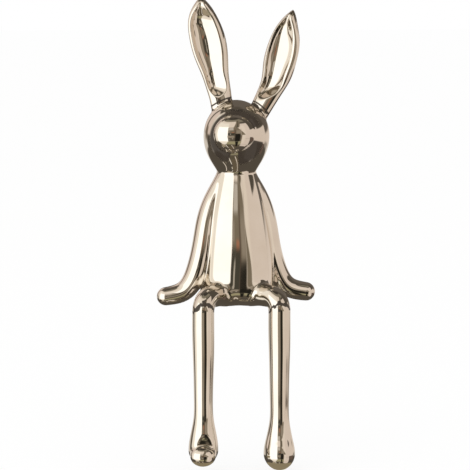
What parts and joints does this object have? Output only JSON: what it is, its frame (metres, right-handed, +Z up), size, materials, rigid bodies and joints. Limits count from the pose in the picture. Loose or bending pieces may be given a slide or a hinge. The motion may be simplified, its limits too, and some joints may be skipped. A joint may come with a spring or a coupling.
{
  "type": "rabbit figurine",
  "caption": "Mirror-plated ceramic rabbit that sits on a shelf's edge on a flat underside, with long legs hanging in front and tall leaf-shaped ears.",
  "frame": {"origin": "middle of the flat underside that rests on the shelf", "axes": "+Z up, -Y the way the rabbit faces, +X the rabbit's own left"},
  "size_m": [0.0726, 0.0484, 0.209],
  "materials": {
    "plated_glaze": "smooth glaze with a champagne-silver mirror plating"
  },
  "bodies": {
    "root": {"body_shell": "plated_glaze", "base_disc": "plated_glaze", "head_shell": "plated_glaze", "muzzle": "plated_glaze", "left_ear": "plated_glaze", "right_ear": "plated_glaze", "left_arm": "plated_glaze", "right_arm": "plated_glaze", "left_leg": "plated_glaze", "right_leg": "plated_glaze"}
  },
  "joints": []
}
